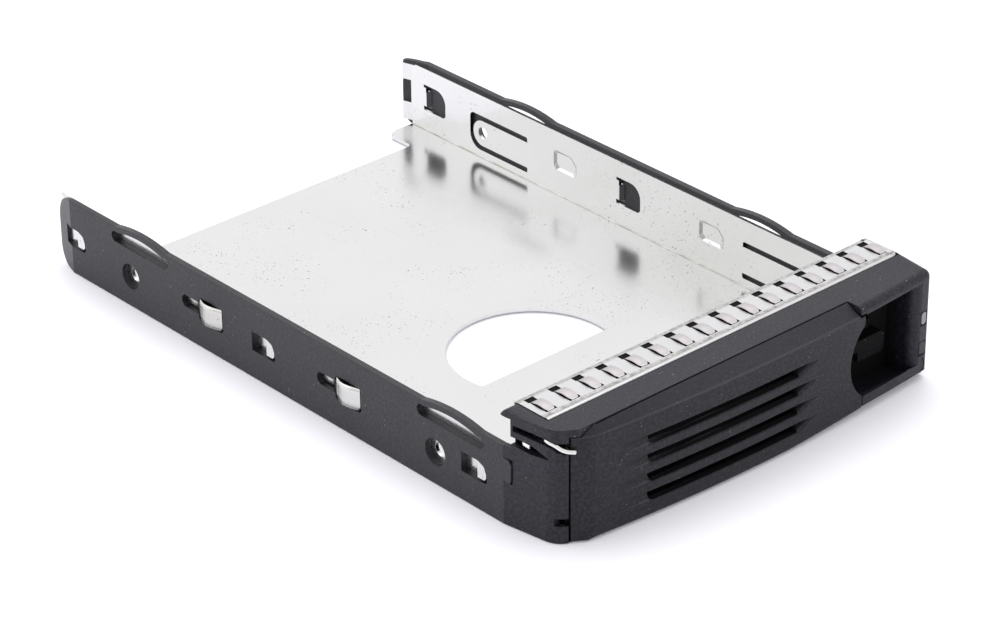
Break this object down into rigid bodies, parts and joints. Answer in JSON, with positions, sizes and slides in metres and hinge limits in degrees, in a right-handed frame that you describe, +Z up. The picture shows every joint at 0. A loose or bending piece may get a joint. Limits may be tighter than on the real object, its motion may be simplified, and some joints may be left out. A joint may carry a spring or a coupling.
{
  "type": "hot swap drive caddy",
  "caption": "Hot swap caddy for a 3.5 inch drive: folded steel tray, black plastic side rails and a bezel with a hinged vented lever, release latch and contact strip",
  "frame": {"origin": "middle of the bounding box at the underside of the rails", "axes": "X across the caddy to the right seen from its front, +Y to the open rear end, +Z up; the bezel faces -Y"},
  "size_m": [0.1086, 0.1709, 0.0264],
  "materials": {
    "zinc_steel": "bright zinc coated sheet, fine specks and soft blurred reflections",
    "black_plastic": "black moulded plastic with a fine satin texture",
    "bright_steel": "bright spring steel",
    "contact_metal": "tinned contact strip, dull with slight yellow staining at its front edge",
    "clear_plastic": "clear light pipe, frosted end"
  },
  "bodies": {
    "caddy": {"steel_tray": "zinc_steel", "left_rail": "black_plastic", "right_rail": "black_plastic", "front_bezel": "black_plastic", "lever_hinge_pin": "bright_steel", "lever_spring": "bright_steel", "contact_strip": "contact_metal", "left_rear_side_spring": "bright_steel", "left_front_side_spring": "bright_steel", "right_rear_side_spring": "bright_steel", "right_front_side_spring": "bright_steel", "upper_light_pipe": "clear_plastic", "lower_light_pipe": "clear_plastic", "bezel_screws": "bright_steel"},
    "lever": {"ejector_lever": "black_plastic"},
    "latch": {"release_latch": "black_plastic", "latch_spring": "bright_steel"}
  },
  "joints": [
    {"name": "lever_hinge", "type": "hinge", "parent": "caddy", "child": "lever", "pos_m": [-0.0446, -0.07825, 0.013], "axis": [0, 0, -1], "range_deg": [0, 60], "deforming": ["lever_spring"]},
    {"name": "latch_slide", "type": "slide", "parent": "caddy", "child": "latch", "axis": [0, 0, -1], "range_m": [0, 0.0028], "stiffness_N_per_m": 400, "springref_m": -0.001, "deforming": ["latch_spring"]}
  ]
}
